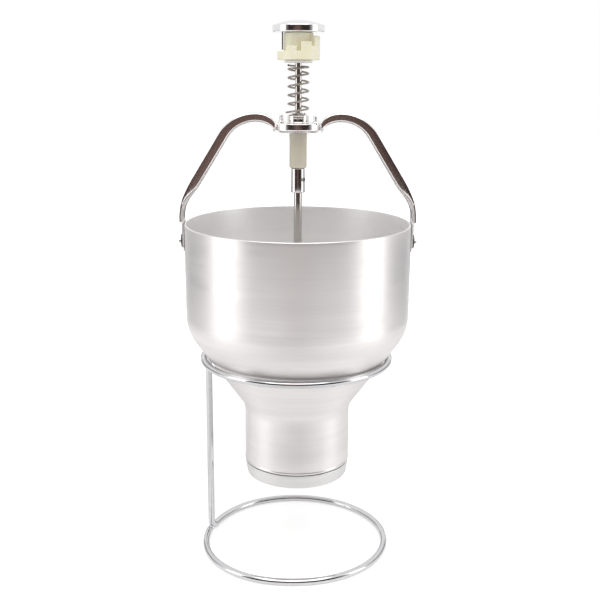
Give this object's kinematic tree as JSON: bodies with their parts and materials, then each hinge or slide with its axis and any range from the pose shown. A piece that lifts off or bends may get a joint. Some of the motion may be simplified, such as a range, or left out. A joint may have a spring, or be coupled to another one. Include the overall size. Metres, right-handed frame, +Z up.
{
  "type": "batter dispenser",
  "caption": "Open metal hopper with an arched handle and a spring-loaded plunger with a turnable size selector that opens and closes its outlet, standing in a wire ring stand.",
  "frame": {"origin": "on the floor under the plunger's axis, at the centre of the stand's base ring", "axes": "+Z up along the plunger, X along the handle from pivot to pivot, -Y towards the viewer, with the stand's post on the -X side"},
  "size_m": [0.2118, 0.2, 0.4798],
  "materials": {
    "chrome_wire": "polished",
    "spun_aluminium": "brushed",
    "turned_aluminium": "satin",
    "polished_casting": "polished",
    "steel": "bright",
    "cream_plastic": "moulded",
    "grey_plastic": "moulded",
    "white_plastic": "moulded",
    "seal_rubber": "matt"
  },
  "bodies": {
    "stand": {"base_wire": "chrome_wire", "support_ring": "chrome_wire"},
    "hopper": {"hopper_shell": "spun_aluminium", "cap_seal": "seal_rubber", "outlet_cap": "turned_aluminium", "outlet_liner": "steel", "handle_bar": "polished_casting", "pivot_pin_left": "steel", "pivot_pin_right": "steel", "pivot_retainer_left": "steel", "pivot_retainer_right": "steel", "guide_bush": "turned_aluminium", "guide_sleeve": "grey_plastic", "plate_screw_left": "steel", "plate_screw_right": "steel", "return_spring": "steel"},
    "plunger": {"press_knob": "polished_casting", "knob_pin": "steel", "upper_rod": "steel", "coupling": "polished_casting", "coupling_screw": "steel", "lower_rod": "steel", "piston_nut": "steel", "piston": "white_plastic", "piston_spacer": "steel", "closing_disc": "steel", "end_nut": "steel"},
    "washer": {"spring_washer": "white_plastic"},
    "selector": {"size_selector": "cream_plastic"}
  },
  "joints": [
    {"name": "lift_from_stand", "type": "slide", "parent": "stand", "child": "hopper", "axis": [0, 0, 1], "range_m": [0, 0.14]},
    {"name": "plunger_press", "type": "slide", "parent": "hopper", "child": "plunger", "axis": [0, 0, -1], "range_m": [0, 0.0175], "stiffness_N_per_m": 2000, "springref_m": -0.005, "deforming": ["return_spring"]},
    {"name": "selector_drop", "type": "slide", "parent": "plunger", "child": "washer", "axis": [0, 0, -1], "range_m": [0, 0.0123]},
    {"name": "selector_turn", "type": "hinge", "parent": "washer", "child": "selector", "pos_m": [0, 0, 0.4574], "axis": [0, 0, -1], "range_deg": [0, 126]}
  ],
  "couplings": [
    {"joint": "selector_turn", "follows": "selector_drop", "rad_per_m": 178.79}
  ]
}
